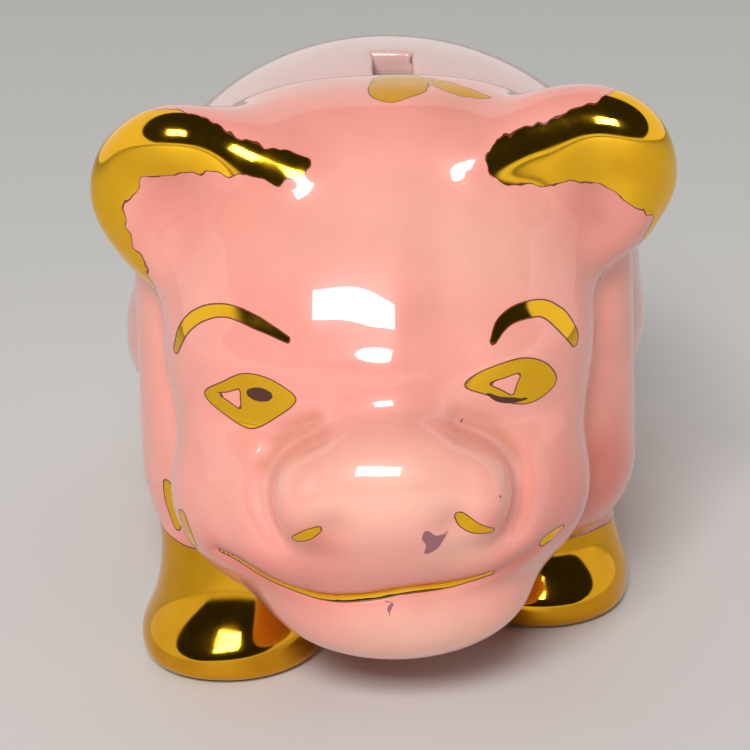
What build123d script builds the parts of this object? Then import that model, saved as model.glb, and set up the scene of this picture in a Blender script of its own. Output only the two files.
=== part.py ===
"""Ceramic pig coin bank: castings luted together before firing, and a rubber stopper in the belly.

The pig faces -Y, +Z is up, and it stands on z = 0. Sizes are in millimetres.
"""
import os

from build123d import *

os.makedirs("parts", exist_ok=True)

# ---- body casting -------------------------------------------------------------------------
wall = 4.0                                # thickness of the cast shell
body_centre = (0, 18, 41.4)
body_radii = (38.6, 43, 30.6)
haunch_centre = (23, 38, 29)              # one on each side, over the rear legs
haunch_radii = (13, 16, 16)
neck_roll_top = (21, -19, 50)             # one fold of fat on each side, behind the cheek
neck_roll_bottom = (21, -22, 25)
neck_roll_radius = 12.7
neck_hole_centre = (0, -18, 46)           # the hollow head opens into the hollow body here
neck_hole_radius = 14.0
neck_hole_length = 30.0
slot_width = 5.6                          # takes every common coin, up to 3 mm thick
slot_length = 26.0
slot_centre_x = 2.3                         # the slot was cut a little off centre
slot_centre_y = 2.5
belly_hole_y = 12.0
belly_hole_radius = 13.5
seat_z = 10.0                             # flat ring round the belly hole
seat_radius = 18.5
far = 100.0                               # longer than any wall is thick

# ---- head casting: height, centre y, half width, half depth of each level section ----------
head_sections = (
    (9.5, -47.0, 7.0, 6.0),
    (13.0, -46.0, 15.5, 13.0),
    (20.0, -43.5, 23.0, 17.5),
    (29.0, -40.0, 27.3, 19.5),
    (38.0, -37.0, 28.4, 20.0),
    (47.0, -34.0, 28.6, 20.5),
    (56.0, -31.0, 28.8, 20.0),
    (65.0, -28.5, 28.3, 18.0),
    (72.0, -27.0, 25.0, 15.0),
    (77.0, -26.5, 17.0, 9.5),
    (79.0, -26.5, 8.0, 5.0),
)
snout_centre = (0, -56, 32)
snout_radii = (14.5, 9, 9.5)
snout_tilt = -12.0                        # the snout's disc looks slightly upwards

# ---- ears -----------------------------------------------------------------------------------
ear_flap_centre = (24, -30, 65)
ear_flap_radii = (12, 6, 12)
ear_flap_tilt = 12.0
ear_rim_centre = (22.5, -33, 63.5)
ear_rim_normal = (-0.27, 0.94, 0.226)     # the rolled rim leans outwards and back
ear_rim_radius = 12.6
ear_rim_thickness = 3.3

# ---- legs -----------------------------------------------------------------------------------
hoof_radii = (13, 13.2, 9.2)
hoof_centre_z = 5.5
hoof_forward = 1.5                        # the hoof reaches in front of the shin
shin_low_z = 8.0
shin_low_radius = 10.5
shin_top_z = 28.0
shin_top_radius = 9.6
shin_lean_y = 3.0                         # the shin's top stands further back than its foot
leg_places = {                            # x and y of each shin; the front legs are staggered
    "leg_front_left": (-20.8, -28.5),
    "leg_front_right": (20.8, -15.5),
    "leg_rear_left": (-21.0, 40.0),
    "leg_rear_right": (21.0, 40.0),
}

# ---- tail and stopper -----------------------------------------------------------------------
tail_centre = (0, 62.6, 46)
tail_radius = 5.2
tail_thickness = 2.3
stopper_clearance = 0.05                  # gap between the rubber and the fired wall
flange_radius = 16.5
flange_thickness = 2.0
flange_rim_width = 3.5
flange_dish_depth = 1.0
plug_height = 6.0
plug_tip_radius = 12.9
plug_rubber = 3.0                         # thickness of the hollow plug's wall


def ellipsoid(centre, radii, tilt=0.0):
    """A solid ellipsoid, tipped about X by tilt degrees."""
    return Pos(*centre) * Rot(tilt, 0, 0) * scale(Sphere(1), by=radii)


def rod(start, end, start_radius, end_radius):
    """A tapered round bar between two points, with ball ends."""
    line = Vector(*end) - Vector(*start)
    middle = (Vector(*start) + Vector(*end)) * 0.5
    plane = Plane(origin=middle, z_dir=line)
    if start_radius == end_radius:
        shaft = plane * Cylinder(start_radius, line.length)
    else:
        shaft = plane * Cone(start_radius, end_radius, line.length)
    return shaft + Pos(*start) * Sphere(start_radius) + Pos(*end) * Sphere(end_radius)


def mirrored(solid):
    """The same solid on the pig's other side."""
    return mirror(solid, about=Plane.YZ)


def body_form():
    """The outside of the body as one closed solid."""
    haunch = ellipsoid(haunch_centre, haunch_radii)
    roll = rod(neck_roll_top, neck_roll_bottom, neck_roll_radius, neck_roll_radius)
    form = ellipsoid(body_centre, body_radii)
    for lump in (roll, mirrored(roll), haunch, mirrored(haunch)):
        form += lump
    return form


def head_stack(sections, inset):
    """A smooth solid through level oval sections, each drawn in by the inset."""
    ovals = [
        Pos(0, y, z) * Ellipse(half_width - inset, half_depth - inset)
        for z, y, half_width, half_depth in sections
    ]
    return loft(ovals)


def head_form():
    """The outside of the head as one closed solid, which runs on into the body."""
    return head_stack(head_sections, 0) + ellipsoid(snout_centre, snout_radii, snout_tilt)


def body_shell(body):
    """The hollow body, with its coin slot, neck opening and belly hole."""
    seat_thickness = wall
    seat = Pos(0, belly_hole_y, seat_z + seat_thickness / 2) * Cylinder(seat_radius, seat_thickness)
    hollow = ellipsoid(body_centre, tuple(radius - wall for radius in body_radii))
    neck = Pos(*neck_hole_centre) * Rot(90, 0, 0) * Cylinder(neck_hole_radius, neck_hole_length)
    hole = Pos(0, belly_hole_y, seat_z) * Cylinder(belly_hole_radius, 4 * wall)
    slot = Pos(slot_centre_x, slot_centre_y, body_centre[2] + far / 2) * Box(slot_width, slot_length, far)
    shell = body + seat
    for opening in (hollow, neck, hole, slot):
        shell -= opening
    return shell


def head_shell(head, body):
    """The hollow head, trimmed to sit on the front of the body."""
    hollow = head_stack(head_sections[1:-1], wall + 0.5)
    return head - body - hollow


def ear(head, body):
    """A flap with a rolled rim, trimmed to the side of the head."""
    flap = Pos(*ear_flap_centre) * Rot(0, ear_flap_tilt, 0) * scale(Sphere(1), by=ear_flap_radii)
    rim = Plane(origin=ear_rim_centre, z_dir=ear_rim_normal) * Torus(ear_rim_radius, ear_rim_thickness)
    return flap + rim - head - body


def leg(head, body, place):
    """A round shin on a wider hoof with a flat sole."""
    x, y = place
    hoof = ellipsoid((x, y - hoof_forward, hoof_centre_z), hoof_radii)
    shin = rod((x, y, shin_low_z), (x, y + shin_lean_y, shin_top_z), shin_low_radius, shin_top_radius)
    above_floor = Pos(0, 0, far / 2) * Box(2 * far, 2 * far, far)
    return ((hoof + shin) & above_floor) - body - head


def tail_curl(body):
    """One turn of tail, lying flat on the rump."""
    return Pos(*tail_centre) * Rot(90, 0, 0) * Torus(tail_radius, tail_thickness) - body


def belly_stopper():
    """A tapered hollow rubber plug on a round flange, dished underneath for a fingertip."""
    shoulder = seat_z - stopper_clearance
    bottom = shoulder - flange_thickness
    dish = bottom + flange_dish_depth
    root_radius = belly_hole_radius - stopper_clearance
    top = shoulder + plug_height
    profile = Polyline(
        (0, dish),
        (flange_radius - flange_rim_width, dish),
        (flange_radius - flange_rim_width + flange_dish_depth, bottom),
        (flange_radius, bottom),
        (flange_radius, shoulder),
        (root_radius, shoulder),
        (plug_tip_radius, top),
        (plug_tip_radius - plug_rubber, top),
        (plug_tip_radius - plug_rubber, shoulder + 1),
        (0, shoulder + 1),
        close=True,
    )
    return Pos(0, belly_hole_y, 0) * revolve(Plane.XZ * make_face(profile), Axis.Z)


def save(solid, name):
    """Write one sub-part to its own file."""
    solid.label = name
    export_step(solid, "parts/" + name + ".step")


body = body_form()
head = head_form()
save(body_shell(body), "body_shell")
save(head_shell(head, body), "head_shell")
right_ear = ear(head, body)
save(right_ear, "ear_right")
save(mirrored(right_ear), "ear_left")
for name, place in leg_places.items():
    save(leg(head, body, place), name)
save(tail_curl(body), "tail_curl")
save(belly_stopper(), "belly_stopper")
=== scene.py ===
"""Looks of the glazed ceramic pig bank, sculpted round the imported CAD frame.

The ceramic is one distance field in millimetres, as in the CAD: x to the viewer's right, y away
from the viewer, z up, hooves on z = 0. Each casting is meshed from that field inside its own share
of the solid, so neighbours meet on one seam. Painted lustre is cut into the mesh as its own faces.
"""
import math

import bpy
import numpy as np
from mathutils import Matrix, Vector


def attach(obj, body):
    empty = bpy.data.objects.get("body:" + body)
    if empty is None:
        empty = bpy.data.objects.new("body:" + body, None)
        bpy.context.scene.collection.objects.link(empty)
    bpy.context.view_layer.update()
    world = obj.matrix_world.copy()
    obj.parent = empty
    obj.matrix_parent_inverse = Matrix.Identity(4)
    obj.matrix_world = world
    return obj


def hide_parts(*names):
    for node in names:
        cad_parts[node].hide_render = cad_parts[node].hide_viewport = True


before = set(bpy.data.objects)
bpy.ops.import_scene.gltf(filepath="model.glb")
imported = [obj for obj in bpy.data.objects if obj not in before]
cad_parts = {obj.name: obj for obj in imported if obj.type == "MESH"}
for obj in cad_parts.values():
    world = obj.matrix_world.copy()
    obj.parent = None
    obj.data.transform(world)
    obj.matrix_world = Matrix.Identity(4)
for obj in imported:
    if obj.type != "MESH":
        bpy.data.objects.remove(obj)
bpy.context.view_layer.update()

MM = 0.001
SEED = 7

# ---- driving dimensions, in millimetres -----------------------------------------------------
WALL = 4.0
SLOT_WIDTH = 5.6
SLOT_LENGTH = 26.0
SLOT_CENTRE_X = 2.3
SLOT_CENTRE_Y = 2.5
BELLY_HOLE_Y = 12.0
BELLY_HOLE_RADIUS = 13.5
BELLY_HOLE_HALF_HEIGHT = 9.0
SEAT_Z = 10.0
SEAT_RADIUS = 18.5
SEAT_HALF_HEIGHT = 3.0
SLOT_LOW_Z = 45.0
TAIL_CENTRE = (0.0, 62.6, 46.0)
TAIL_RADIUS = 5.2
TAIL_HALF_THICKNESS = 2.2
LEGS = {                                   # x and y of each shin, and the height of its gilding
    "leg_front_left": (-21.2, -28.8, 18.0),
    "leg_front_right": (21.0, -15.5, 12.2),
    "leg_rear_left": (-21.0, 40.0, 15.0),
    "leg_rear_right": (21.0, 40.0, 14.0),
}
JOINT_LIFT = 0.5                           # a luted part starts this far above its host's form
JOINT_REACH = 4.0                          # and takes this much of the fillet round its own form
SOLE_ROUNDING = 4.0
FAR = 20.0                                 # a distance to use where a form is out of reach

# The low or high edges that bound the places where each kind of part is worked out.
EAR_LOW_Z = 44.0
LEG_HIGH_Z = 45.0
LEG_SHARE_HIGH_Z = 34.0
TAIL_LOW_Y = 45.0


# ---- distance fields ------------------------------------------------------------------------
def turn(axis, degrees):
    """Rotation matrix about one axis."""
    return np.array(Matrix.Rotation(math.radians(degrees), 3, axis))


def ball(p, centre, radii, power=2.0, turned=None):
    """Ellipsoid, or a squarer one with a power above 2."""
    q = p - np.array(centre, float)
    if turned is not None:
        q = q @ turned
    radii = np.array(radii, float)
    u = np.abs(q / radii)
    k = np.maximum((u**power).sum(-1), 1e-9) ** (1 / power)
    slope = (u ** (power - 1) / radii) / (k ** (power - 1))[..., None]
    return (k - 1) / np.maximum(np.sqrt((slope**2).sum(-1)), 1e-6)


def rod(p, start, end, start_radius, end_radius):
    """Tapered round bar with ball ends."""
    start = np.array(start, float)
    line = np.array(end, float) - start
    t = np.clip(((p - start) @ line) / (line @ line), 0, 1)
    gap = p - start - t[..., None] * line
    return np.sqrt((gap**2).sum(-1)) - (start_radius + (end_radius - start_radius) * t)


def join(a, b, blend):
    """Union with a soft fillet."""
    h = np.maximum(blend - np.abs(a - b), 0) / blend
    return np.minimum(a, b) - h * h * h * blend / 6


def cut(a, b, blend):
    """a with b taken out, with a soft edge."""
    return -join(-a, b, blend)


def spline(rows, count):
    """Points on a smooth curve through the rows."""
    rows = np.array(rows, float)
    ends = np.vstack([2 * rows[0] - rows[1], rows, 2 * rows[-1] - rows[-2]])
    out = []
    for place in np.linspace(0, len(rows) - 1, count):
        i = min(int(place), len(rows) - 2)
        f = place - i
        a, b, c, d = ends[i:i + 4]
        bend = 2 * a - 5 * b + 4 * c - d
        swing = 3 * b - a - 3 * c + d
        out.append(0.5 * (2 * b + (c - a) * f + bend * f * f + swing * f**3))
    return np.array(out)


def beads(p, rows, count, softness):
    """A smooth tube: a row of balls (x, y, z, radius) melted together."""
    total = np.zeros(len(p))
    for x, y, z, radius in spline(rows, count):
        gap = np.sqrt(((p - (x, y, z)) ** 2).sum(-1)) - radius
        total += np.exp(-np.clip(gap, -20, 40) / softness)
    return -softness * np.log(np.maximum(total, 1e-30))


def stroke(q, rows, count=24):
    """Distance from flat points to a brush stroke: rows of (u, v, half width)."""
    path = spline(rows, count)
    best = np.full(len(q), 1e9)
    for a, b in zip(path[:-1], path[1:]):
        line = b[:2] - a[:2]
        t = np.clip(((q - a[:2]) @ line) / max(line @ line, 1e-9), 0, 1)
        gap = np.sqrt(((q - a[:2] - t[:, None] * line) ** 2).sum(-1))
        best = np.minimum(best, gap - (a[2] + (b[2] - a[2]) * t))
    return best


def mirrored(p):
    """The points with the left side folded on to the right."""
    q = p.copy()
    q[:, 0] = np.abs(q[:, 0])
    return q


def hump(q, x, z, wide, tall):
    """A smooth hump of height 1 on the front view."""
    return np.exp(-(((q[:, 0] - x) / wide) ** 2) - ((q[:, 1] - z) / tall) ** 2)


def bump(distance, width):
    """1 on a line, and falling away on both sides of it."""
    return np.exp(-((np.maximum(distance, 0) / width) ** 2))


def fade(value, start, end):
    """0 up to the start and 1 from the end on."""
    return np.clip((value - start) / (end - start), 0, 1)


def where(mask, function, p, other=0.0):
    """The function's values at the points in the mask, and a plain value at the rest."""
    values = np.full(len(p), other)
    if mask.any():
        values[mask] = function(p[mask])
    return values


# ---- the pig: a ball is its centre and radii, and what there are two of is on the right --------
BARREL = (1.2, 18, 42), (36.8, 43, 30.2)
BARREL_LEAN = 3                            # degrees
BELLY = (0, 15, 31), (38.4, 37, 19.5)
HAUNCH = (23, 38, 29), (13, 16, 16)
NECK_ROLL = (21, -19, 50), (21.2, -22, 25)    # the ends of the fold of fat behind each cheek
NECK_ROLL_RADIUS = 12.7

FACE = (-0.9, -32.3, 47.5), (28.2, 19.9, 25.1)
FACE_SQUARENESS = 2.25                     # 2 is an ellipsoid, and more is squarer
FACE_TILT = -26
SKULL = (0, -24.6, 59.65), (27.8, 15.3, 18.6)
SKULL_SQUARENESS = 2.57
JAW = (-1.3, -41, 28.5), (27.3, 18, 17)
CHIN = (0.6, -47.4, 17.0), (17, 11.5, 9.3)
LIP = (8.5, -51.5, 27), (11, 8.5, 6.5)
SNOUT = (0, -55.5, 34.6), (14.2, 9.2, 8.6)
SNOUT_SQUARENESS = 2.3
SNOUT_TILT = -17
SNOUT_WING = (10.6, -57.0, 34.0), (4.6, 6.2, 6.2)
MUZZLE = (0, -53.4, 28.4), (12.5, 8.4, 8.0)
BRIDGE = (0, -46.6, 48.6), (0, -52, 39)    # the ends of the ridge from brow to snout
BRIDGE_RADII = 6.4, 6.0

# Lines on the face, as x and z on the front view and a half width of nothing.
MOUTH = [
    (-22.2, 24.6, 0), (-19.4, 24.0, 0), (-15.3, 21.9, 0), (-11.7, 20.8, 0), (-8.2, 20.2, 0),
    (-3.0, 20.6, 0), (1.2, 21.5, 0), (6.6, 21.9, 0), (12.0, 22.9, 0), (15.4, 24.4, 0), (19.1, 26.0, 0),
]
LIDS = [
    [(-24.0, 48.2, 0), (-20.5, 50.2, 0), (-16.5, 50.6, 0), (-13.6, 50.0, 0)],
    [(13.0, 50.6, 0), (15.5, 51.2, 0), (18.5, 50.8, 0), (22.6, 48.0, 0)],
]
SNOUT_CREASES = [
    [(-9.2, 42.6, 0), (-12.8, 40.6, 0), (-15.6, 37.0, 0), (-16.0, 33.0, 0), (-14.4, 29.4, 0)],
    [(8.6, 42.6, 0), (12.4, 40.8, 0), (15.6, 37.2, 0), (16.2, 33.4, 0), (14.8, 29.6, 0)],
]

# How far each line stands out, or in below 0, and how wide its slope is.
MOUTH_GROOVE = -0.5, 0.9
LID_RIDGE = 0.15, 1.7
SNOUT_GROOVE = -0.55, 1.5

SWELLS = [                                 # x, z, half width, half height and how far each stands out
    (-4, 59, 9.0, 6.0, 0.8),               # dome of the forehead
    (-10, 53, 5.0, 7.0, 1.1),              # beside the left brow
    (2, 56, 3.5, 8.0, 0.6),                # down to the bridge
    (-1.5, 50, 4.5, 2.0, 0.5),             # top of the bridge
    (1, 38.5, 6.0, 3.0, 0.25),             # top of the snout
]
TWIN_SWELLS = [                            # the same on both sides
    (20, 38, 4.0, 3.0, 0.25),              # cheek under the eye
    (7.2, 32.4, 2.6, 2.3, -0.8),           # dimple of the nostril
]
EYE_X, EYE_Z = 17.0, 45.2
EYE_HALF_WIDTH, EYE_HALF_HEIGHT = 7.5, 4.0
EYE_LEAN = 0.9
RELIEF_BACK_Y = -34.0                      # the relief starts here
RELIEF_FULL_Y = -40.0                      # and is full from here forward
RELIEF_TOP_Z = 74.0


def body_form(p, m):
    d = join(ball(p, *BARREL, 2.0, turn("Y", BARREL_LEAN)), ball(p, *BELLY), blend=8)
    d = join(d, ball(m, *HAUNCH), blend=7)
    return join(d, rod(m, *NECK_ROLL, NECK_ROLL_RADIUS, NECK_ROLL_RADIUS), blend=6)


def relief(p):
    """How far the modelling of the face stands proud of its plain form."""
    return where((p[:, 1] < RELIEF_BACK_Y) & (p[:, 2] < RELIEF_TOP_Z), face_relief, p)


def face_relief(p):
    q = p[:, [0, 2]]
    m = mirrored(q)
    lines = [(MOUTH, 40, MOUTH_GROOVE)]
    lines += [(rows, 24, LID_RIDGE) for rows in LIDS]
    lines += [(rows, 24, SNOUT_GROOVE) for rows in SNOUT_CREASES]
    proud = np.zeros(len(p))
    for rows, count, (height, width) in lines:
        proud += height * bump(stroke(q, rows, count), width)
    # Each eye leans forward at the top and sinks into the cheek at the bottom.
    across = np.exp(-(((m[:, 0] - EYE_X) / EYE_HALF_WIDTH) ** 2))
    level = (m[:, 1] - EYE_Z) / EYE_HALF_HEIGHT
    proud += EYE_LEAN * across * level * np.exp(-(level**4) / 4)
    for view, swells in ((m, TWIN_SWELLS), (q, SWELLS)):
        for x, z, wide, tall, height in swells:
            proud += height * hump(view, x, z, wide, tall)
    return proud * fade(p[:, 1], RELIEF_BACK_Y, RELIEF_FULL_Y)


def twin(p, side, centre, radii):
    """One ball of a pair: side is 1 on the viewer's right and -1 on the left."""
    x, y, z = centre
    return ball(p, (side * x, y, z), radii)


def head_form(p):
    face = ball(p, *FACE, FACE_SQUARENESS, turn("X", FACE_TILT))
    d = join(face, ball(p, *SKULL, SKULL_SQUARENESS), blend=6)
    d = join(d, ball(p, *JAW), blend=10)
    d = join(d, ball(p, *CHIN), blend=6)
    lip = join(twin(p, -1, *LIP), twin(p, 1, *LIP), blend=8)
    d = join(d, lip, blend=6)
    snout = ball(p, *SNOUT, SNOUT_SQUARENESS, turn("X", SNOUT_TILT))
    for side in (-1, 1):
        snout = join(snout, twin(p, side, *SNOUT_WING), blend=2.5)
    snout = join(snout, ball(p, *MUZZLE), blend=7)
    d = join(d, snout, blend=2.4)
    d = join(d, rod(p, *BRIDGE, *BRIDGE_RADII), blend=7)
    return d - relief(p)


EAR_FLAP = (23.6, -30.0, 64.8), (11.8, 6.8, 12.0)
EAR_FLAP_SQUARENESS = 2.2
EAR_FLAP_LEAN = 12
EAR_DISH = (28.5, -43.6, 65), (7.5, 8.5, 9.5)
EAR_SHIFT_X = 0.6                          # both ears sit a little to the right,
EAR_RISE = 0.028                           # and a little higher there than on the left
EAR_RIM_BEADS = 26
EAR_RIM_SOFTNESS = 0.7
EAR_RIM_LEFT = [                           # x without its sign, y, z and radius
    (11.0, -36.6, 69.6, 2.2), (18.5, -33.0, 71.8, 3.4), (27.3, -33.3, 74.8, 3.5), (33.4, -29.4, 71.0, 3.1),
    (35.0, -28.6, 64.8, 2.5), (31.6, -27.8, 57.7, 1.9),
]
EAR_RIM_RIGHT = [
    (11.0, -36.0, 69.4, 2.2), (18.5, -32.3, 71.5, 3.4), (26.4, -30.3, 72.9, 3.4), (32.0, -32.2, 70.9, 3.1),
    (34.8, -27.8, 63.9, 2.5), (31.6, -27.8, 57.3, 1.9),
]


def ear_form(p):
    """A thick flap flush with the temple, a little dished, with a rolled rim."""
    p = p.copy()
    p[:, 2] -= EAR_RISE * p[:, 0]
    p[:, 0] -= EAR_SHIFT_X
    m = mirrored(p)
    flap = ball(m, *EAR_FLAP, EAR_FLAP_SQUARENESS, turn("Y", EAR_FLAP_LEAN))
    flap = cut(flap, ball(m, *EAR_DISH), blend=6)
    left = p[:, 0] < 0
    rim = where(left, lambda q: beads(q, EAR_RIM_LEFT, EAR_RIM_BEADS, EAR_RIM_SOFTNESS), m)
    rim += where(~left, lambda q: beads(q, EAR_RIM_RIGHT, EAR_RIM_BEADS, EAR_RIM_SOFTNESS), m)
    return join(flap, rim, blend=5)


SHIN_LOW_Z, SHIN_HIGH_Z = -1.2, 30.0
SHIN_LOW_RADIUS, SHIN_HIGH_RADIUS = 11.3, 9.8
SHIN_LEAN_Y = 3.0                          # the shin's top stands further back than its foot
SHIN_TOP_SPREAD = 0.985                    # and a little nearer to the middle
HOOF_RADII = (9.6, 11.4, 3.0)
HOOF_Z = 2.4
HOOF_SPREAD = 1.06
HOOF_SHIFT = (-1.2, -0.6)
HOOF_SQUARENESS = 2.2


def leg_form(p, x, y):
    """A short leg on a hoof that flares, more so on the viewer's left."""
    top = (x * SHIN_TOP_SPREAD, y + SHIN_LEAN_Y, SHIN_HIGH_Z)
    shin = rod(p, (x, y, SHIN_LOW_Z), top, SHIN_LOW_RADIUS, SHIN_HIGH_RADIUS)
    middle = (HOOF_SPREAD * x + HOOF_SHIFT[0], y + HOOF_SHIFT[1], HOOF_Z)
    return join(shin, ball(p, middle, HOOF_RADII, HOOF_SQUARENESS), blend=12)


def tail_form(p):
    """One turn of tail, lying flat on the rump."""
    q = p - np.array(TAIL_CENTRE)
    return np.hypot(np.hypot(q[:, 0], q[:, 2]) - TAIL_RADIUS, q[:, 1]) - TAIL_HALF_THICKNESS


def belly_distance(p):
    """Distance from the upright line through the middle of the belly hole."""
    return np.hypot(p[:, 0], p[:, 1] - BELLY_HOLE_Y)


def fields(p):
    """Every form at the points, by name, and the fired ceramic as a whole."""
    m = mirrored(p)
    f = {"body": body_form(p, m), "head": head_form(p)}
    f["host"] = join(f["body"], f["head"], blend=2.5)
    seat_middle_z = SEAT_Z + SEAT_HALF_HEIGHT
    seat = np.maximum(belly_distance(p) - SEAT_RADIUS, np.abs(p[:, 2] - seat_middle_z) - SEAT_HALF_HEIGHT)
    out = join(f["host"], seat, blend=1)
    f["ear"] = where(p[:, 2] > EAR_LOW_Z, ear_form, p, FAR)
    out = join(out, f["ear"], blend=6)
    for name, (x, y, _) in LEGS.items():
        f[name] = where(p[:, 2] < LEG_HIGH_Z, lambda q, x=x, y=y: leg_form(q, x, y), p, FAR)
        out = join(out, f[name], blend=4)
    f["tail"] = where(p[:, 1] > TAIL_LOW_Y, tail_form, p, FAR)
    out = join(out, f["tail"], blend=2)
    out = cut(out, p[:, 2], blend=SOLE_ROUNDING)
    hollow = np.minimum(f["body"], f["head"]) + WALL
    hole_height = np.abs(p[:, 2] - SEAT_Z) - BELLY_HOLE_HALF_HEIGHT
    hole = np.maximum(belly_distance(p) - BELLY_HOLE_RADIUS, hole_height)
    slot_side = np.abs(p[:, 0] - SLOT_CENTRE_X) - SLOT_WIDTH / 2
    slot_end = np.abs(p[:, 1] - SLOT_CENTRE_Y) - SLOT_LENGTH / 2
    slot = np.maximum(np.maximum(slot_side, slot_end), SLOT_LOW_Z - p[:, 2])
    out = cut(out, hollow, blend=0.5)
    out = cut(out, hole, blend=0.8)
    f["whole"] = cut(out, slot, blend=1.6)
    return f


def whole(p):
    return fields(p)["whole"]


# ---- which casting owns which part of the ceramic: negative inside its share -------------------
SEAM_SLOPE = 0.7                           # brings a difference of two distances near to a distance


def luted(f, form):
    """A part that was stuck on the outside of the head or body."""
    return np.maximum(JOINT_LIFT - f["host"], f[form] - JOINT_REACH)


def ear_share(f, p):
    return np.maximum(luted(f, "ear"), EAR_LOW_Z - p[:, 2])


def leg_share(f, p, name):
    return np.maximum(luted(f, name), p[:, 2] - LEG_SHARE_HIGH_Z)


def tail_share(f, p):
    return luted(f, "tail")


def host_share(f, p):
    """What no ear, leg or tail owns."""
    others = np.minimum(ear_share(f, p), tail_share(f, p))
    for name in LEGS:
        others = np.minimum(others, leg_share(f, p, name))
    return -others


def head_share(f, p):
    return np.maximum(host_share(f, p), SEAM_SLOPE * (f["head"] - f["body"]))


def body_share(f, p):
    return np.maximum(host_share(f, p), SEAM_SLOPE * (f["body"] - f["head"]))


# ---- meshing ----------------------------------------------------------------------------------
CORNERS = np.array([(i, j, k) for i in (0, 1) for j in (0, 1) for k in (0, 1)])
EDGES = [(a, b) for a in range(8) for b in range(a + 1, 8) if abs(CORNERS[a] - CORNERS[b]).sum() == 1]
BLOCK = 8                                  # grid steps along the side of a block
BLOCK_REACH = 1.1                          # of a block's side, which is more than its half diagonal
BLOCK_SLACK = 1.5                          # because a blended field isn't quite a distance


def in_batches(function, points, size=200000):
    """A function of points, worked out a batch at a time to save memory."""
    parts = [function(points[i:i + size]) for i in range(0, len(points), size)]
    return np.concatenate(parts)


def sample(field, low, high, step):
    """The field on a grid, worked out closely only in blocks that the surface may cross."""
    counts = np.ceil((np.array(high, float) - low) / step / BLOCK).astype(int)
    index = np.stack(np.meshgrid(*[np.arange(n) for n in counts], indexing="ij"), -1).reshape(-1, 3)
    rough = in_batches(field, low + (index + 0.5) * BLOCK * step)
    near = (np.abs(rough) < BLOCK_REACH * BLOCK * step + BLOCK_SLACK).reshape(counts)
    values = rough.reshape(counts)
    for axis in range(3):
        near = np.repeat(near, BLOCK, axis)
        values = np.repeat(values, BLOCK, axis)
    places = np.argwhere(near)
    values[near] = in_batches(field, low + places * step)
    return values


def surface_net(values, low, step):
    """Quads on the zero level of the grid of values."""
    inside = values < 0

    def at(array, corner):
        return array[tuple(slice(c, n - 1 + c) for c, n in zip(corner, inside.shape))]

    count = sum(at(inside, c).astype(int) for c in CORNERS)
    cells = (count > 0) & (count < 8)
    places = np.argwhere(cells)
    number = np.full(cells.shape, -1)
    number[cells] = np.arange(len(places))
    total = np.zeros((len(places), 3))
    hits = np.zeros(len(places))
    for a, b in EDGES:
        va = at(values, CORNERS[a])[cells]
        vb = at(values, CORNERS[b])[cells]
        crossed = (va < 0) != (vb < 0)
        t = va[crossed] / (va[crossed] - vb[crossed])
        total[crossed] += CORNERS[a] + t[:, None] * (CORNERS[b] - CORNERS[a])
        hits[crossed] += 1
    vertices = low + step * (places + total / hits[:, None])
    quads = []
    for axis in range(3):
        u, v = (axis + 1) % 3, (axis + 2) % 3
        start = [slice(1, n - 1) for n in inside.shape]
        start[axis] = slice(0, inside.shape[axis] - 1)
        end = list(start)
        end[axis] = slice(1, inside.shape[axis])
        crossed = np.argwhere(inside[tuple(start)] != inside[tuple(end)]) + [s.start for s in start]
        outward = inside[tuple(crossed.T)]
        ring = []
        for du, dv in ((-1, -1), (0, -1), (0, 0), (-1, 0)):
            cell = crossed.copy()
            cell[:, u] += du
            cell[:, v] += dv
            ring.append(number[tuple(cell.T)])
        ring = np.stack(ring, 1)
        ring[~outward] = ring[~outward][:, ::-1]
        quads.append(ring)
    return vertices, np.concatenate(quads)


def slope(function, p, reach=0.02):
    """Gradient of a field by central differences."""
    columns = []
    for axis in range(3):
        step = np.zeros(3)
        step[axis] = reach
        columns.append((function(p + step) - function(p - step)) / (2 * reach))
    return np.stack(columns, -1)


def settle(p, longest):
    """Moves points on to the surface of the ceramic."""
    for _ in range(2):
        grade = slope(whole, p)
        move = -whole(p)[:, None] * grade / np.maximum((grade**2).sum(1), 0.2)[:, None]
        p = p + np.clip(move, -longest, longest)
    return p


def triangles_of(vertices, quads):
    """Splits each quad along its shorter diagonal."""
    a, b, c, d = (vertices[quads[:, i]] for i in range(4))
    short = ((a - c) ** 2).sum(1) <= ((b - d) ** 2).sum(1)
    one = np.where(short[:, None], quads[:, [0, 1, 2]], quads[:, [0, 1, 3]])
    two = np.where(short[:, None], quads[:, [0, 2, 3]], quads[:, [1, 2, 3]])
    return np.concatenate([one, two])


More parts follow.
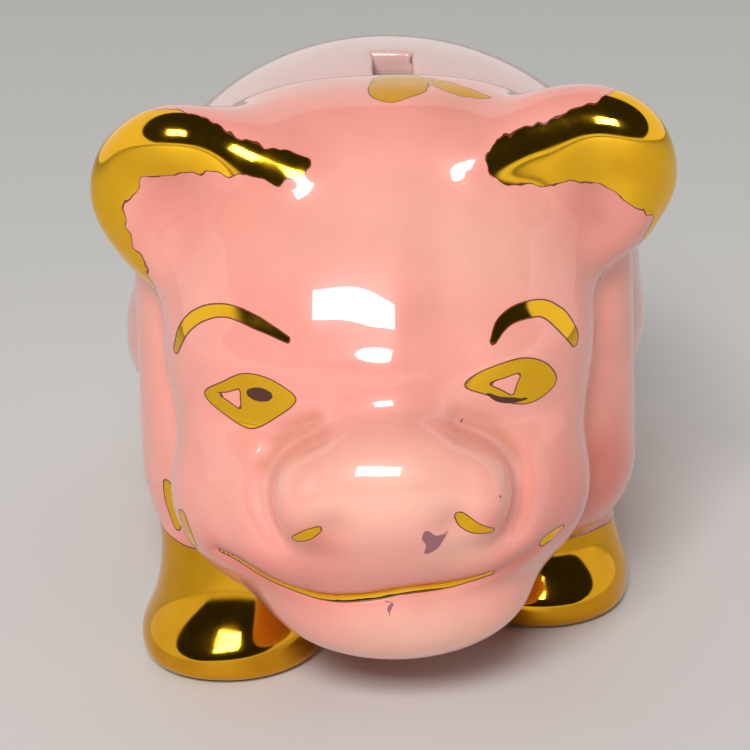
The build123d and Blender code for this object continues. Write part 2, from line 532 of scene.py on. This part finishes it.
class Clay:
    """A triangle mesh of the ceramic inside a box, with a paint number for each face."""

    def __init__(self, low, high, step):
        low = np.array(low, float)
        vertices, quads = surface_net(sample(whole, low, high, step), low, step)
        self.points = in_batches(lambda p: settle(p, 0.5 * step), vertices)
        self.faces = triangles_of(self.points, quads)
        self.paint = np.zeros(len(self.faces), int)

    def brush(self, area, paint, over=None):
        """Cuts the mesh along the edge of an area, negative inside, and paints the inside."""
        value = in_batches(area, self.points)
        value = np.where(np.abs(value) < 1e-4, 1e-4, value)
        sign = value[self.faces] < 0
        free = np.ones(len(self.faces), bool) if over is None else np.isin(self.paint, over)
        mixed = free & sign.any(1) & ~sign.all(1)
        self.paint[free & sign.all(1)] = paint
        tri = self.faces[mixed]
        if len(tri) == 0:
            return
        odd = sign[mixed]
        lone = np.where(odd.sum(1) == 1, odd.argmax(1), (~odd).argmax(1))
        rows = np.arange(len(tri))
        a, b, c = (tri[rows, (lone + i) % 3] for i in range(3))
        ends = np.concatenate([np.stack([a, b], 1), np.stack([a, c], 1)])
        pairs, back = np.unique(np.sort(ends, 1), axis=0, return_inverse=True)
        i, j = pairs.T
        t = value[i] / (value[i] - value[j])
        fresh = len(self.points) + back.ravel()
        ab, ac = fresh[:len(tri)], fresh[len(tri):]
        cuts = self.points[i] + t[:, None] * (self.points[j] - self.points[i])
        self.points = np.concatenate([self.points, cuts])
        old = self.paint[mixed]
        tip_in = value[a] < 0
        tip, rest = np.where(tip_in, paint, old), np.where(tip_in, old, paint)
        parts = [np.stack(corner, 1) for corner in ((a, ab, ac), (ab, b, c), (ab, c, ac))]
        self.faces = np.concatenate([self.faces[~mixed], *parts])
        self.paint = np.concatenate([self.paint[~mixed], tip, rest, rest])

    def keep(self, area):
        """Trims the mesh to an area."""
        dropped = -1
        self.brush(lambda p: -area(p), dropped)
        kept = self.paint != dropped
        self.faces, self.paint = self.faces[kept], self.paint[kept]


# ---- paint: areas are negative inside -------------------------------------------------------
UNPAINTED = 9.0                            # a distance to use where an area is out of reach
FACE_BACK_Y = -26.0                        # marks on the face stop here
CHEEK_BACK_Y = -12.0                       # and marks on the cheeks here


def front_only(p, area, back):
    """A front-view area, kept forward of a plane."""
    return where(p[:, 1] < back + 2, lambda q: np.maximum(area(q), q[:, 1] - back), p, UNPAINTED)


def polygon(q, rows):
    """Signed distance from flat points to a closed smooth outline."""
    loop = np.array(rows, float)
    fine = 8                               # points of the curve to each side of the outline
    closed = np.vstack([loop[-1], loop, loop[0], loop[1]])
    path = spline(closed, fine * (len(loop) + 2) + 1)[fine:-fine]
    best = np.full(len(q), 1e9)
    crossings = np.zeros(len(q), int)
    for a, b in zip(path[:-1], path[1:]):
        line = b - a
        t = np.clip(((q - a) @ line) / max(line @ line, 1e-9), 0, 1)
        best = np.minimum(best, np.sqrt(((q - a - t[:, None] * line) ** 2).sum(-1)))
        spans = (a[1] > q[:, 1]) != (b[1] > q[:, 1])
        rise = line[1] if abs(line[1]) > 1e-12 else 1e-12
        crossings += spans & (q[:, 0] < (q[:, 1] - a[1]) / rise * line[0] + a[0])
    return np.where(crossings % 2 == 1, -best, best)


def bristle(p, scale, seed):
    """Smooth repeatable unevenness between about -1 and 1, as a loaded brush leaves."""
    rng = np.random.default_rng(SEED + seed)
    total = np.zeros(len(p))
    for octave in (1.0, 2.1, 4.3):
        wave = rng.normal(size=(6, 3)) / scale * octave
        phase = rng.uniform(0, 2 * math.pi, 6)
        total += np.sin(p @ wave.T + phase).sum(1) / octave
    return total / 6


# Outlines and brush strokes on the front view: x and z, and for a stroke its half width.
EYE_LEFT = [
    (-23.2, 44.3), (-20.6, 46.6), (-18.1, 48.1), (-15.4, 48.1), (-13.0, 47.0), (-11.6, 45.5),
    (-13.6, 43.4), (-17.2, 41.1), (-20.6, 42.2),
]
EYE_RIGHT = [
    (9.6, 46.5), (11.5, 47.9), (15.3, 48.8), (17.9, 48.6), (20.1, 47.2), (21.3, 44.8),
    (20.2, 43.4), (18.0, 42.7), (15.7, 43.2), (12.4, 45.0),
]
EYE_LEFT_BARE = [(-21.7, 44.8), (-20.2, 45.4), (-18.6, 46.1), (-18.5, 44.7), (-18.6, 43.2), (-20.2, 44.0)]
EYE_RIGHT_BARE = [(12.5, 46.4), (14.6, 46.9), (16.7, 47.1), (16.2, 45.6), (15.6, 44.2), (14.1, 45.2)]
BROW_LEFT = [
    (-27.0, 48.2, 0.25), (-26.0, 50.9, 0.5), (-24.5, 52.9, 0.6), (-22.7, 54.2, 0.65), (-20.7, 54.9, 0.65),
    (-18.8, 54.9, 0.7), (-15.9, 54.2, 0.7), (-12.3, 52.9, 0.3),
]
BROW_RIGHT = [
    (13.2, 51.4, 0.3), (14.3, 53.0, 0.7), (16.0, 53.9, 0.8), (18.3, 54.1, 0.85), (20.3, 53.5, 0.85),
    (22.3, 51.6, 0.85), (23.7, 49.4, 0.6), (23.9, 48.4, 0.3),
]
MOUTH_PAINT = [
    (-22.2, 24.5, 0.15), (-19.4, 24.0, 0.2), (-15.3, 21.9, 0.3), (-11.7, 20.8, 0.45), (-8.2, 20.2, 0.5),
    (-3.0, 20.6, 0.5), (1.2, 21.5, 0.5), (6.6, 21.9, 0.5), (10.0, 22.5, 0.4), (12.4, 23.0, 0.2),
]
CORNER_MARK = [(19.0, 25.3, 0.35), (20.3, 25.7, 0.6), (21.6, 25.9, 0.3)]
NOSTRIL_LEFT = [(-12.0, 30.5, 0.4), (-10.7, 31.2, 0.75), (-9.2, 32.0, 0.4)]
NOSTRIL_RIGHT = [(8.2, 33.4, 0.5), (9.0, 32.3, 0.85), (10.3, 31.4, 0.7), (12.2, 30.8, 0.25)]
CHEEK_MARKS = [
    [(-29.9, 25.6, 0.5), (-29.5, 23.0, 0.75), (-28.8, 20.0, 0.4)],
    [(-27.0, 27.8, 0.4), (-26.4, 25.4, 0.5), (-25.7, 23.2, 0.35)],
]
FLANK_TOUCH = (37.4, -4.0, 34.0)           # a dab of gold that got on to the body
FLANK_TOUCH_RADIUS = 1.4
# Painted reflections of the dark room on the gilded eyes: a brown spot in the left eye and a dark crescent
# low in the right one.
PUPIL_REFLECTION_LEFT, PUPIL_REFLECTION_LEFT_RADII = (-16.1, 45.7), (1.7, 0.95)
LID_REFLECTION_RIGHT = [(12.2, 45.3, 0.15), (13.6, 44.2, 0.35), (15.4, 43.6, 0.4), (17.4, 43.3, 0.15)]
CHIP = [
    (4.1, 32.1), (5.4, 31.0), (7.0, 31.4), (6.3, 30.4), (5.3, 28.9), (3.8, 28.3), (4.0, 29.8), (3.5, 31.0),
]
SMALL_CHIP = [(-1.2, 20.1, 0.12), (-0.3, 19.6, 0.2), (-0.9, 18.9, 0.22), (-0.5, 17.8, 0.1)]
SPECKS = [(9.0, 42.1, 0.28), (13.4, 35.3, 0.25), (0.2, 44.8, 0.2), (-6.5, 26.2, 0.18)]
FORELOCK = [                               # the forelock is drawn on the view from above: x and y
    (-1.2, -28.2), (-0.7, -24.0), (0.8, -21.5), (5.6, -21.5), (5.9, -28.6), (3.4, -30.6), (1.1, -31.2),
    (-0.7, -30.2),
]
FORELOCK_LOW_Z = 70.0
FORELOCK_TIP = [(6.3, -23.2), (9.8, -24.4), (14.2, -28.8), (10.4, -29.2), (7.4, -27.2)]


def ragged(p, scale, seed):
    """Two columns of unevenness, for moving flat points about."""
    return np.stack([bristle(p, scale, seed), bristle(p, scale, seed + 1)], 1)


def uneven(p, amount, scale, seed):
    """Front-view points, moved a little so that an outline drawn on them looks brushed."""
    return p[:, [0, 2]] + amount * ragged(p, scale, seed)


def eyes(p):
    q = p[:, [0, 2]]
    left = np.maximum(polygon(q, EYE_LEFT), -polygon(q, EYE_LEFT_BARE))
    right = np.maximum(polygon(q, EYE_RIGHT), -polygon(q, EYE_RIGHT_BARE))
    return np.minimum(left, right)


def features(p):
    """Eyes, brows, nostrils and mouth."""
    q = uneven(p, 0.10, 1.6, 1)
    d = eyes(p)
    for rows in (BROW_LEFT, BROW_RIGHT, MOUTH_PAINT, CORNER_MARK, NOSTRIL_LEFT, NOSTRIL_RIGHT):
        d = np.minimum(d, stroke(q, rows, 30))
    return d


def forelock(p):
    q = p[:, [0, 1]] + 0.45 * ragged(p, 1.2, 3)
    return np.minimum(polygon(q, FORELOCK), polygon(q, FORELOCK_TIP))


def face_lustre(p):
    return front_only(p, features, FACE_BACK_Y)


def crown_lustre(p):
    return where(p[:, 2] > FORELOCK_LOW_Z, forelock, p, UNPAINTED)


def cheek_marks(p):
    q = uneven(p, 0.12, 1.6, 5)
    return np.minimum(stroke(q, CHEEK_MARKS[0]), stroke(q, CHEEK_MARKS[1]))


def cheek_lustre(p):
    flank = np.sqrt(((p - FLANK_TOUCH) ** 2).sum(1)) - FLANK_TOUCH_RADIUS - 0.4 * bristle(p, 1.2, 12)
    return np.minimum(front_only(p, cheek_marks, CHEEK_BACK_Y), flank)


# The painted reflections in the eyes.
def dark_eye_reflection_marks(p):
    q = p[:, [0, 2]]
    left = np.sqrt((((q - PUPIL_REFLECTION_LEFT) / PUPIL_REFLECTION_LEFT_RADII) ** 2).sum(1)) - 1
    return np.minimum(left * min(PUPIL_REFLECTION_LEFT_RADII), stroke(q, LID_REFLECTION_RIGHT))


def dark_eye_reflection(p):
    return front_only(p, dark_eye_reflection_marks, FACE_BACK_Y)


def chip_marks(p):
    q = p[:, [0, 2]]
    d = np.minimum(polygon(q, CHIP), stroke(q, SMALL_CHIP))
    for x, z, radius in SPECKS:
        d = np.minimum(d, np.hypot(q[:, 0] - x, q[:, 1] - z) - radius)
    return d


def chips(p):
    return front_only(p, chip_marks, FACE_BACK_Y)


EAR_LEFT_GOLD = [
    (-34.0, 79.0), (-28.7, 80.0), (-24.1, 80.0), (-20.2, 79.0), (-15.9, 76.6), (-13.2, 74.6), (-9.6, 73.4),
    (-9.2, 72.0), (-10.3, 70.4), (-12.0, 69.9), (-13.6, 69.5), (-16.5, 70.2), (-20.2, 70.3), (-22.7, 70.6),
    (-26.9, 70.0), (-30.4, 69.7), (-31.2, 67.8), (-33.3, 65.7), (-33.3, 63.5), (-32.4, 60.4), (-30.9, 56.8),
    (-31.0, 53.0), (-46.0, 53.0), (-46.0, 76.0),
]
EAR_RIGHT_GOLD = [
    (14.0, 72.8), (17.6, 76.0), (21.0, 79.0), (24.3, 80.0), (29.4, 80.0), (34.0, 79.0), (40.0, 75.0),
    (46.0, 70.0), (46.0, 52.0), (32.8, 52.0), (33.2, 55.2), (34.7, 59.1), (35.1, 60.9), (33.4, 62.8),
    (30.7, 64.4), (29.7, 65.9), (24.1, 67.7), (21.6, 67.5), (15.5, 68.4), (13.6, 70.4),
]
EAR_GOLD_LOW_Z = 48.0
EAR_GOLD_BACK_Y = -26.0


def ear_lustre(p):
    return where(p[:, 2] > EAR_GOLD_LOW_Z, ear_paint, p, UNPAINTED)


def ear_paint(p):
    """The gilded roll of each ear, ragged where the brush left it."""
    shift = ragged(p, 0.9, 7)
    q = p[:, [0, 2]] + 0.55 * shift
    d = np.minimum(polygon(q, EAR_LEFT_GOLD), polygon(q, EAR_RIGHT_GOLD))
    # The gold ends along the roll's crest, which runs further back towards the ear's tip.
    out = np.abs(p[:, 0])
    crest = -34.4 + 0.24 * (out - 26) + 0.9 * np.maximum(out - 28, 0)
    return np.maximum(d, p[:, 1] - np.minimum(crest, EAR_GOLD_BACK_Y) + 0.5 * shift[:, 0])


def hoof_lustre(name):
    """The area below an edge that runs up and down round the leg."""
    x, y, height = LEGS[name]

    def area(p):
        around = np.arctan2(p[:, 0] - x, p[:, 1] - y)
        wave = 0.5 * np.sin(2 * around + x) + 0.18 * bristle(p, 2.2, 9)
        return p[:, 2] - height - wave

    return area


def tail_lustre(p):
    q = p - np.array(TAIL_CENTRE)
    return -q[:, 1] + 0.6 - 0.3 * bristle(p, 1.4, 10)


# ---- materials --------------------------------------------------------------------------------
def material(name, colour, roughness, metallic=0.0, coat=0.0):
    made = bpy.data.materials.new(name)
    made.use_nodes = True
    shader = made.node_tree.nodes["Principled BSDF"]
    shader.inputs["Base Color"].default_value = (*colour, 1)
    shader.inputs["Roughness"].default_value = roughness
    shader.inputs["Metallic"].default_value = metallic
    shader.inputs["Coat Weight"].default_value = coat
    shader.inputs["Coat Roughness"].default_value = 0.03
    return made, made.node_tree, shader


def linear(r, g, b):
    """A colour given as 0 to 255, as the shader wants it."""
    return tuple(((c / 255 + 0.055) / 1.055) ** 2.4 if c > 10 else c / 255 / 12.92 for c in (r, g, b))


def soft_noise(tree, scale, detail, low, high):
    """Soft noise as it comes, and spread between two values."""
    noise = tree.nodes.new("ShaderNodeTexNoise")
    noise.inputs["Scale"].default_value = scale
    noise.inputs["Detail"].default_value = detail
    place = tree.nodes.new("ShaderNodeTexCoord")
    tree.links.new(place.outputs["Object"], noise.inputs["Vector"])
    spread = tree.nodes.new("ShaderNodeMapRange")
    spread.inputs["From Min"].default_value = 0.3
    spread.inputs["From Max"].default_value = 0.7
    spread.inputs["To Min"].default_value = low
    spread.inputs["To Max"].default_value = high
    tree.links.new(noise.outputs["Fac"], spread.inputs["Value"])
    return noise.outputs["Fac"], spread.outputs["Result"]


def mottle(tree, shader, low, high, scale):
    """Lets the roughness wander between two values."""
    noise, roughness = soft_noise(tree, scale, 3.0, low, high)
    tree.links.new(roughness, shader.inputs["Roughness"])
    return noise


def glaze_material():
    """Pink glaze under a clear gloss. The colour of each place, painted shade and sheen included, comes from
    the mesh.
    """
    made, tree, shader = material("pink_glaze", (0.9, 0.42, 0.36), 0.35, coat=1.0)
    shader.inputs["Coat IOR"].default_value = 1.5
    shader.inputs["Specular IOR Level"].default_value = 0.3
    tint = tree.nodes.new("ShaderNodeVertexColor")
    tint.layer_name = "glaze"
    _, strength = soft_noise(tree, 140, 4, 0.96, 1.04)
    mix = tree.nodes.new("ShaderNodeVectorMath")
    mix.operation = "SCALE"
    tree.links.new(tint.outputs["Color"], mix.inputs[0])
    tree.links.new(strength, mix.inputs["Scale"])
    tree.links.new(mix.outputs["Vector"], shader.inputs["Base Color"])
    return made


def lustre_material(name, bright, dull):
    """Fired gold, mottled between two tones."""
    made, tree, shader = material(name, bright, 0.1, metallic=1.0)
    noise = mottle(tree, shader, 0.05, 0.13, 260)
    tone = tree.nodes.new("ShaderNodeMix")
    tone.data_type = "RGBA"
    tone.inputs["A"].default_value = (*bright, 1)
    tone.inputs["B"].default_value = (*dull, 1)
    tree.links.new(noise, tone.inputs["Factor"])
    tree.links.new(tone.outputs["Result"], shader.inputs["Base Color"])
    return made


def even_material(name, colour, roughness, spread, scale, coat=0.0):
    """One colour, with only its roughness mottled."""
    made, tree, shader = material(name, colour, roughness, coat=coat)
    mottle(tree, shader, *spread, scale)
    return made


# The lustre's edge is the thin brown line where it ran out on the glaze, and the unglazed inside and
# the soles are bare clay.
GLAZE, LUSTRE, EDGE, DARK_REFLECTION, CHIPPED, BARE, THIN_AND_SHADED_LUSTRE = range(7)
FINISHES = [
    glaze_material(),
    lustre_material("gold_lustre", (1.0, 0.57, 0.035), (0.96, 0.49, 0.015)),
    even_material("lustre_edge", linear(112, 48, 16), 0.3, (0.25, 0.4), 200, coat=0.6),
    # painted reflection of the dark room, on the eyes
    even_material("eye_reflection_brown", linear(74, 28, 4), 0.25, (0.2, 0.35), 300, coat=0.3),
    even_material("chip_mauve", linear(152, 92, 102), 0.5, (0.4, 0.6), 300, coat=0.6),
    even_material("bare_clay", linear(226, 196, 184), 0.8, (0.7, 0.9), 150),
    # darker gold: painted shade on the hooves, for the dark room they reflect, and thin brownish lustre on
    # the crown
    lustre_material("thin_and_shaded_lustre", (0.80, 0.42, 0.025), (0.66, 0.30, 0.008)),
]


# ---- the colour of the glaze, with painted shade and sheen --------------------------------------
BASE_PINK = np.array((0.88, 0.335, 0.275))
# rosy pink, also used for painted shade
BLUSH_AND_SHADE_PINK = np.array((0.68, 0.18, 0.14))
# painted shade
SHADE_PINK = np.array((0.46, 0.11, 0.09))
BROWN_PINK = np.array((0.60, 0.20, 0.12))
# paler pink, also used for a painted pool of light on the chin
PALE_AND_LIT_PINK = np.array((0.92, 0.48, 0.37))
# painted sheen, for the bright room reflected on the top of the body
SHEEN_PINK = np.array((0.74, 0.49, 0.45))


# Soft spots of another colour: the share at the middle, and the middle and radii. Most are painted shade; the
# nostrils and lips are the glaze's own rosy colour.
TWIN_BLUSHES_AND_SHADE = [                           # the same on both sides
    (0.65, (25.5, -34.5, 65.5), (7.5, 7, 7.5)),      # painted shade in the dish of the ear
    (0.35, (12, -40, 70), (6, 6, 4)),                # painted shade in the hollow in front of the ear
    (0.50, (13, -57, 24), (9, 8, 3)),                # lip
    (0.35, (24, -44, 24), (6, 12, 9)),               # painted shade on the jowl
]
BLUSHES_AND_SHADE = [
    (1.00, (-9.4, -62.5, 30.8), (3.6, 5, 3.2)),      # left nostril
    (0.70, (12.6, -61, 31.6), (3, 5, 2.8)),          # right nostril
    (0.35, (21, -46, 31), (6, 12, 8)),               # right cheek: rosy glaze and painted shade
    (0.35, (-14, -52, 14), (8, 12, 5)),              # painted shade left of the chin
    (0.70, (-22.6, -43, 17.5), (6, 12, 4)),          # painted shade at the foot of the left jowl
    (0.90, (29.2, -36, 26.5), (4, 12, 7)),           # painted shade at the far edge of the right jowl
    (0.60, (22.5, -44, 23.2), (5, 10, 5)),           # painted shade at the right corner of the mouth
]
EAR_DISH_SHADE_SPOTS = [(0.60, (27.5, -33, 64.5), (6, 7, 7))]  # painted shade in the dish of the right ear
BROWN_SPOTS = [(0.30, (9.5, -31, 76), (5, 5, 4))]    # beside the forelock
PALE_AND_LIT_SPOTS = [
    (0.95, (0, -62, 37), (13, 9, 6.5)),              # top of the snout
    (1.00, (3, -57, 12.5), (13, 9, 5.5)),            # chin: paler glaze and a painted pool of light
    (0.60, (13, -44, 60), (9, 9, 7)),                # right of the forehead
    (0.45, (0, -42, 65), (14, 9, 7)),                # top of the forehead
    (0.60, (8, -61, 28.2), (4, 5, 2.6)),             # under the right nostril
]


def spots(p, rows):
    total = np.zeros(len(p))
    for share, centre, radii in rows:
        total += share * np.exp(-(((p - np.array(centre, float)) / np.array(radii, float)) ** 2).sum(1))
    return total


def tinted(colour, other, share):
    share = np.clip(share, 0, 1)[:, None]
    return colour * (1 - share) + other * share


def glaze_shade_and_sheen_colour(p):
    """Air-brushed pink, rosy at the nostrils and lips, brown along the upper snout creases, deeper along the
    mouth and paler on the snout, with painted shade in the ear dishes, on the jaw and low on the face, a
    painted pool of light on the chin and a painted sheen on the top of the body.
    """
    q = p[:, [0, 2]]
    ahead = fade(p[:, 1], -30, -36)
    # painted shade, deeper towards the bottom of the front of the face
    low_shade = fade(p[:, 2], 32, 18) * fade(p[:, 1], -44, -36)
    # painted sheen: the top of the body is whitened for the bright room it reflects at a grazing angle
    dome = fade(p[:, 2], 58, 66) * fade(p[:, 1], -8, 2)
    # rosy glaze, with painted shade on the jaw, jowls, ear hollows and low on the face
    blush_and_shade = spots(mirrored(p), TWIN_BLUSHES_AND_SHADE) + spots(p, BLUSHES_AND_SHADE) + 0.5 * low_shade
    blush_and_shade += 0.6 * ahead * bump(stroke(q, MOUTH), 2.0) + 0.07 * bristle(p, 9.0, 11)
    brown = spots(p, BROWN_SPOTS)
    for rows in SNOUT_CREASES:
        brown += 0.6 * ahead * bump(stroke(q, rows[:3], 8), 1.2)
    # paler spots, and a painted pool of light on the chin
    pale_and_lit = spots(p, PALE_AND_LIT_SPOTS) + 0.22 * np.clip(bristle(p, 7.0, 13), 0, 1)
    colour = tinted(BASE_PINK, BLUSH_AND_SHADE_PINK, blush_and_shade)
    # painted shade in the dish of the right ear
    colour = tinted(colour, SHADE_PINK, spots(p, EAR_DISH_SHADE_SPOTS))
    colour = tinted(colour, BROWN_PINK, brown)
    colour = tinted(colour, PALE_AND_LIT_PINK, pale_and_lit)
    return tinted(colour, SHEEN_PINK, 0.9 * dome)


def build(clay, name, body_name="bank"):
    """Turns a casting's clay into the piece that stands for its CAD node."""
    mesh = bpy.data.meshes.new(name)
    used, back = np.unique(clay.faces, return_inverse=True)
    points = clay.points[used]
    faces = back.reshape(clay.faces.shape)
    grade = in_batches(lambda p: slope(whole, p), points)
    grade /= np.maximum(np.sqrt((grade**2).sum(1)), 1e-9)[:, None]
    mesh.vertices.add(len(points))
    mesh.vertices.foreach_set("co", (points * MM).astype(np.float32).ravel())
    mesh.loops.add(3 * len(faces))
    mesh.loops.foreach_set("vertex_index", faces.astype(np.int32).ravel())
    mesh.polygons.add(len(faces))
    mesh.polygons.foreach_set("loop_start", np.arange(0, 3 * len(faces), 3, dtype=np.int32))
    mesh.update(calc_edges=True)
    mesh.polygons.foreach_set("use_smooth", np.ones(len(faces), bool))
    for finish in FINISHES:
        mesh.materials.append(finish)
    mesh.polygons.foreach_set("material_index", clay.paint.astype(np.int32))
    tint = mesh.color_attributes.new("glaze", "FLOAT_COLOR", "POINT")
    colours = np.ones((len(points), 4), np.float32)
    colours[:, :3] = glaze_shade_and_sheen_colour(points)
    tint.data.foreach_set("color", colours.ravel())
    mesh.normals_split_custom_set_from_vertices(grade.tolist())
    piece = bpy.data.objects.new(name, mesh)
    bpy.context.scene.collection.objects.link(piece)
    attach(piece, body_name)
    return piece


# ---- the castings -------------------------------------------------------------------------------
COARSE = 1.0
LINE = 0.17                                # width of the brown line round the lustre
OVERLAP = 0.02                             # neighbours share this much, so that no seam shows
BARE_DEPTH = 3.2                           # out from the hollow, so the glaze runs a little way into the slot
BARE_SOLE_Z = 0.25


def bare_inside(p):
    f = fields(p)
    return np.minimum(f["body"], f["head"]) + BARE_DEPTH


def bare_sole(p):
    return p[:, 2] - BARE_SOLE_Z


def gild(clay, area, lustre):
    """Lustre with its brown edge, on what is still plain glaze."""
    clay.brush(area, lustre, over=(GLAZE,))
    clay.brush(lambda p: area(p) - LINE, EDGE, over=(GLAZE,))


def casting(name, share, low, high, step, areas):
    """Meshes one casting from its share of the ceramic, paints it and puts it in its node's place."""
    clay = Clay(low, high, step * COARSE)
    clay.keep(lambda p: share(fields(p), p) - OVERLAP)
    for area, paint in areas:
        if paint in (LUSTRE, THIN_AND_SHADED_LUSTRE):
            gild(clay, area, paint)
        else:
            clay.brush(area, paint)
    clay.brush(bare_inside, BARE)
    clay.brush(bare_sole, BARE)
    piece = build(clay, name + "_ceramic")
    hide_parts(name)
    return piece


casting(
    "body_shell", body_share, low=(-44, -44, 2), high=(44, 68, 78), step=0.8,
    areas=[(cheek_lustre, LUSTRE)],
)
casting(
    "head_shell", head_share, low=(-34, -68, 4), high=(34, 6, 84), step=0.55,
    areas=[
        (ear_lustre, LUSTRE), (face_lustre, LUSTRE), (cheek_lustre, LUSTRE), (crown_lustre, THIN_AND_SHADED_LUSTRE),
        (dark_eye_reflection, DARK_REFLECTION), (chips, CHIPPED),
    ],
)
for side, name in ((-1, "ear_left"), (1, "ear_right")):
    casting(
        name, lambda f, p, side=side: np.maximum(ear_share(f, p), -side * p[:, 0]),
        low=(min(side * 5, side * 42), -44, 42), high=(max(side * 5, side * 42), -14, 84), step=0.4,
        areas=[(ear_lustre, LUSTRE)],
    )
for name, (x, y, _) in LEGS.items():
    casting(
        name, lambda f, p, name=name: leg_share(f, p, name),
        low=(x - 20, y - 20, -2), high=(x + 20, y + 22, 38), step=0.6,
        areas=[(hoof_lustre(name), THIN_AND_SHADED_LUSTRE), (cheek_lustre, LUSTRE)],
    )
casting(
    "tail_curl", tail_share, low=(-12, 52, 34), high=(12, 72, 58), step=0.4,
    areas=[(tail_lustre, LUSTRE)],
)

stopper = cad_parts["belly_stopper"]
stopper.data.materials.clear()
rubber = even_material("stopper_rubber", linear(222, 208, 188), 0.6, (0.5, 0.7), 120)
stopper.data.materials.append(rubber)

# ---- floor, light and camera ----------------------------------------------------------------------
bpy.ops.mesh.primitive_plane_add(size=6.0, location=(0, 0, 0))
floor = bpy.context.object
floor.name = "floor"
floor_paint, _, _ = material("floor", (0.68, 0.67, 0.655), 0.6)
floor.data.materials.append(floor_paint)

bpy.context.scene.view_settings.view_transform = "Standard"
world = bpy.data.worlds.new("studio")
bpy.context.scene.world = world
world.use_nodes = True
tree = world.node_tree
ground = tree.nodes["Background"]
place = tree.nodes.new("ShaderNodeTexCoord")
apart = tree.nodes.new("ShaderNodeSeparateXYZ")
tree.links.new(place.outputs["Generated"], apart.inputs["Vector"])


def ramp(value, start, end, low, high):
    made = tree.nodes.new("ShaderNodeMapRange")
    made.interpolation_type = "SMOOTHSTEP"
    made.inputs["From Min"].default_value = start
    made.inputs["From Max"].default_value = end
    made.inputs["To Min"].default_value = low
    made.inputs["To Max"].default_value = high
    tree.links.new(value, made.inputs["Value"])
    return made.outputs["Result"]


def times(a, b):
    made = tree.nodes.new("ShaderNodeMath")
    made.operation = "MULTIPLY"
    tree.links.new(a, made.inputs[0])
    tree.links.new(b, made.inputs[1])
    return made.outputs["Value"]


def less(a, b, share):
    """a less a share of b."""
    made = tree.nodes.new("ShaderNodeMath")
    made.operation = "MULTIPLY_ADD"
    tree.links.new(b, made.inputs[0])
    made.inputs[1].default_value = -share
    tree.links.new(a, made.inputs[2])
    return made.outputs["Value"]


BRIGHT_ROOM = 0.84
DARK_ROOM = 0.025

# The room is dark ahead of the pig and overhead, and bright low down to both sides and behind.
ahead = ramp(less(apart.outputs["Y"], apart.outputs["Z"], 1.5), -0.90, -0.80, 1.0, 0.0)
above = ramp(apart.outputs["Z"], 0.02, 0.12, 0.0, 1.0)
dark = times(ahead, above)
strength = ramp(dark, 0.0, 1.0, BRIGHT_ROOM, DARK_ROOM)
tree.links.new(strength, ground.inputs["Strength"])
ground.inputs["Color"].default_value = (1.0, 0.985, 0.96, 1)


LAMP_PLACE = Vector((-0.17, -0.93, 0.80))  # in metres, as Blender has it
LAMP_AIM = Vector((0, -0.04, 0.04))
light = bpy.data.lights.new("softbox", "AREA")
light.shape = "RECTANGLE"
light.size = 0.52
light.size_y = 0.32
light.energy = 13.0
softbox = bpy.data.objects.new("softbox", light)
bpy.context.scene.collection.objects.link(softbox)
softbox.location = LAMP_PLACE
softbox.rotation_euler = (LAMP_AIM - LAMP_PLACE).to_track_quat("-Z", "Y").to_euler()

# The camera looks a little down on the pig, in millimetres like the pig itself.
ELEVATION = math.radians(21.0)
ROLL = math.radians(1.8)
DISTANCE = 360.0
AIM = Vector((-1.6, -32.0, 40.3))
forward = Vector((0, math.cos(ELEVATION), -math.sin(ELEVATION)))
upright = Vector((0, math.sin(ELEVATION), math.cos(ELEVATION)))
across = Vector((1, 0, 0))
right = math.cos(ROLL) * across - math.sin(ROLL) * upright
up = math.sin(ROLL) * across + math.cos(ROLL) * upright
lens = bpy.data.cameras.new("camera")
lens.lens = 130.56
lens.sensor_width = 36.0
lens.clip_start = 0.01
camera = bpy.data.objects.new("camera", lens)
bpy.context.scene.collection.objects.link(camera)
facing = Matrix((right, up, -forward)).transposed().to_4x4()
camera.matrix_world = Matrix.Translation((AIM - forward * DISTANCE) * MM) @ facing
bpy.context.scene.camera = camera
